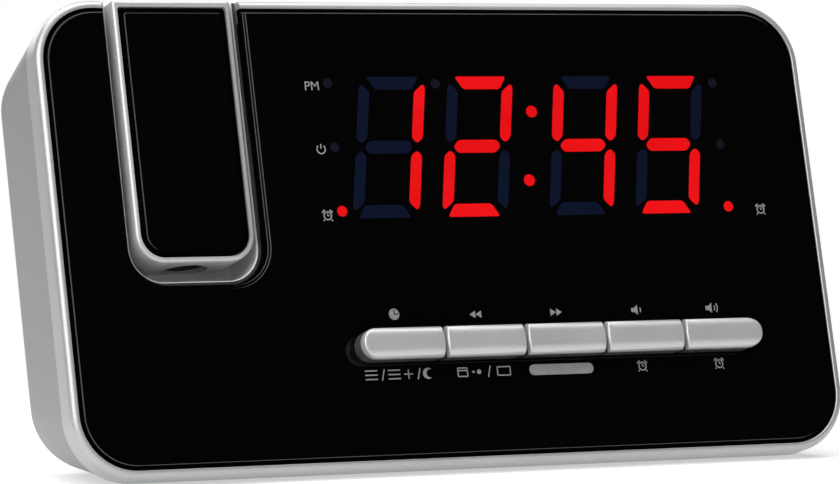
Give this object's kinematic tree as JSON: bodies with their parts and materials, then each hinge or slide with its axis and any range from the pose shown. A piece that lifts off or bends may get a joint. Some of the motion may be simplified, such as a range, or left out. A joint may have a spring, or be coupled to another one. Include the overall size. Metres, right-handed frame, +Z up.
{
  "type": "clock radio",
  "caption": "Bedside clock radio with a leaning black face, red seven-segment display, row of silver buttons and a flip-up projector arm in a recess.",
  "frame": {"origin": "under the middle of the object, on the surface that its feet stand on", "axes": "+X to the right as seen from the front, +Y to the back, +Z up"},
  "size_m": [0.179, 0.0592, 0.098],
  "materials": {
    "silver_shell": "silver painted ABS, satin, fine metallic flake",
    "silver_tray": "silver painted ABS, satin to glossy",
    "black_gloss": "smoked acrylic, high gloss, polished bevel",
    "grey_case": "grey painted ABS, fine texture",
    "silver_button": "silver painted ABS, satin",
    "steel": "plated steel",
    "white_nylon": "natural nylon",
    "display_black": "black moulded display block",
    "paper_cone": "black coated paper",
    "circuit_board": "green solder mask",
    "battery_sleeve": "plain printed sleeve with metal ends",
    "black_moulding": "black moulded plastic",
    "lens_glass": "clear optical lens",
    "slide_glass": "dark liquid crystal slide",
    "led_red": "red tinted epoxy",
    "rubber_foot": "black rubber, matt"
  },
  "bodies": {
    "root": {"front_bezel": "silver_shell", "front_panel": "black_gloss", "rear_cabinet": "grey_case", "arm_tray": "silver_tray", "arm_axle": "steel", "hinge_bush_left": "white_nylon", "hinge_bush_right": "white_nylon", "display_module": "display_black", "button_board": "circuit_board", "main_board": "circuit_board", "speaker_frame": "steel", "speaker_cone": "paper_cone", "battery_upper": "battery_sleeve", "battery_lower": "battery_sleeve", "battery_contact_left": "steel", "battery_contact_right": "steel", "dc_jack": "black_moulding", "aerial_bush": "black_moulding", "screw_upper_left": "steel", "screw_upper_right": "steel", "screw_lower_left": "steel", "screw_lower_right": "steel", "foot_front_left": "rubber_foot", "foot_front_right": "rubber_foot", "foot_back_left": "rubber_foot", "foot_back_right": "rubber_foot"},
    "arm": {"arm_frame": "silver_shell", "arm_insert": "black_gloss", "arm_back_cover": "silver_shell", "projector_slide": "slide_glass", "projector_led": "led_red", "projector_board": "circuit_board"},
    "focus_ring": {"focus_ring": "black_moulding"},
    "lens_cell": {"lens_cell": "black_moulding", "projector_lens": "lens_glass"},
    "button_clock": {"button_clock": "silver_button"},
    "button_back": {"button_back": "silver_button"},
    "button_forward": {"button_forward": "silver_button"},
    "button_volume_down": {"button_volume_down": "silver_button"},
    "button_volume_up": {"button_volume_up": "silver_button"},
    "snooze_bar": {"snooze_bar": "silver_button"},
    "power_button": {"power_button": "silver_button"},
    "battery_door": {"battery_door": "grey_case"}
  },
  "joints": [
    {"name": "arm_flip", "type": "hinge", "parent": "root", "child": "arm", "pos_m": [-0.0584, 0.00104, 0.0896], "axis": [-1, 0, 0], "range_deg": [0, 180]},
    {"name": "focus_turn", "type": "hinge", "parent": "arm", "child": "focus_ring", "pos_m": [-0.0584, -0.0079, 0.05286], "axis": [0, 0.2622, 0.965], "range_deg": [-135, 135]},
    {"name": "lens_focus", "type": "slide", "parent": "arm", "child": "lens_cell", "axis": [0, 0.2622, 0.965], "range_m": [-0.0006, 0.0006]},
    {"name": "button_clock_press", "type": "slide", "parent": "root", "child": "button_clock", "axis": [0, 0.965, -0.2622], "range_m": [0, 0.0008], "stiffness_N_per_m": 400, "springref_m": -0.0008},
    {"name": "button_back_press", "type": "slide", "parent": "root", "child": "button_back", "axis": [0, 0.965, -0.2622], "range_m": [0, 0.0008], "stiffness_N_per_m": 400, "springref_m": -0.0008},
    {"name": "button_forward_press", "type": "slide", "parent": "root", "child": "button_forward", "axis": [0, 0.965, -0.2622], "range_m": [0, 0.0008], "stiffness_N_per_m": 400, "springref_m": -0.0008},
    {"name": "button_volume_down_press", "type": "slide", "parent": "root", "child": "button_volume_down", "axis": [0, 0.965, -0.2622], "range_m": [0, 0.0008], "stiffness_N_per_m": 400, "springref_m": -0.0008},
    {"name": "button_volume_up_press", "type": "slide", "parent": "root", "child": "button_volume_up", "axis": [0, 0.965, -0.2622], "range_m": [0, 0.0008], "stiffness_N_per_m": 400, "springref_m": -0.0008},
    {"name": "snooze_press", "type": "slide", "parent": "root", "child": "snooze_bar", "axis": [0, -0.2622, -0.965], "range_m": [0, 0.001], "stiffness_N_per_m": 400, "springref_m": -0.001},
    {"name": "power_press", "type": "slide", "parent": "root", "child": "power_button", "axis": [0, -0.2622, -0.965], "range_m": [0, 0.001], "stiffness_N_per_m": 400, "springref_m": -0.001},
    {"name": "battery_door_open", "type": "hinge", "parent": "root", "child": "battery_door", "pos_m": [-0.008, 0.01203, 0.01563], "axis": [-1, 0, 0], "range_deg": [0, 75]}
  ],
  "couplings": [
    {"joint": "focus_turn", "follows": "lens_focus", "rad_per_m": 3927}
  ]
}
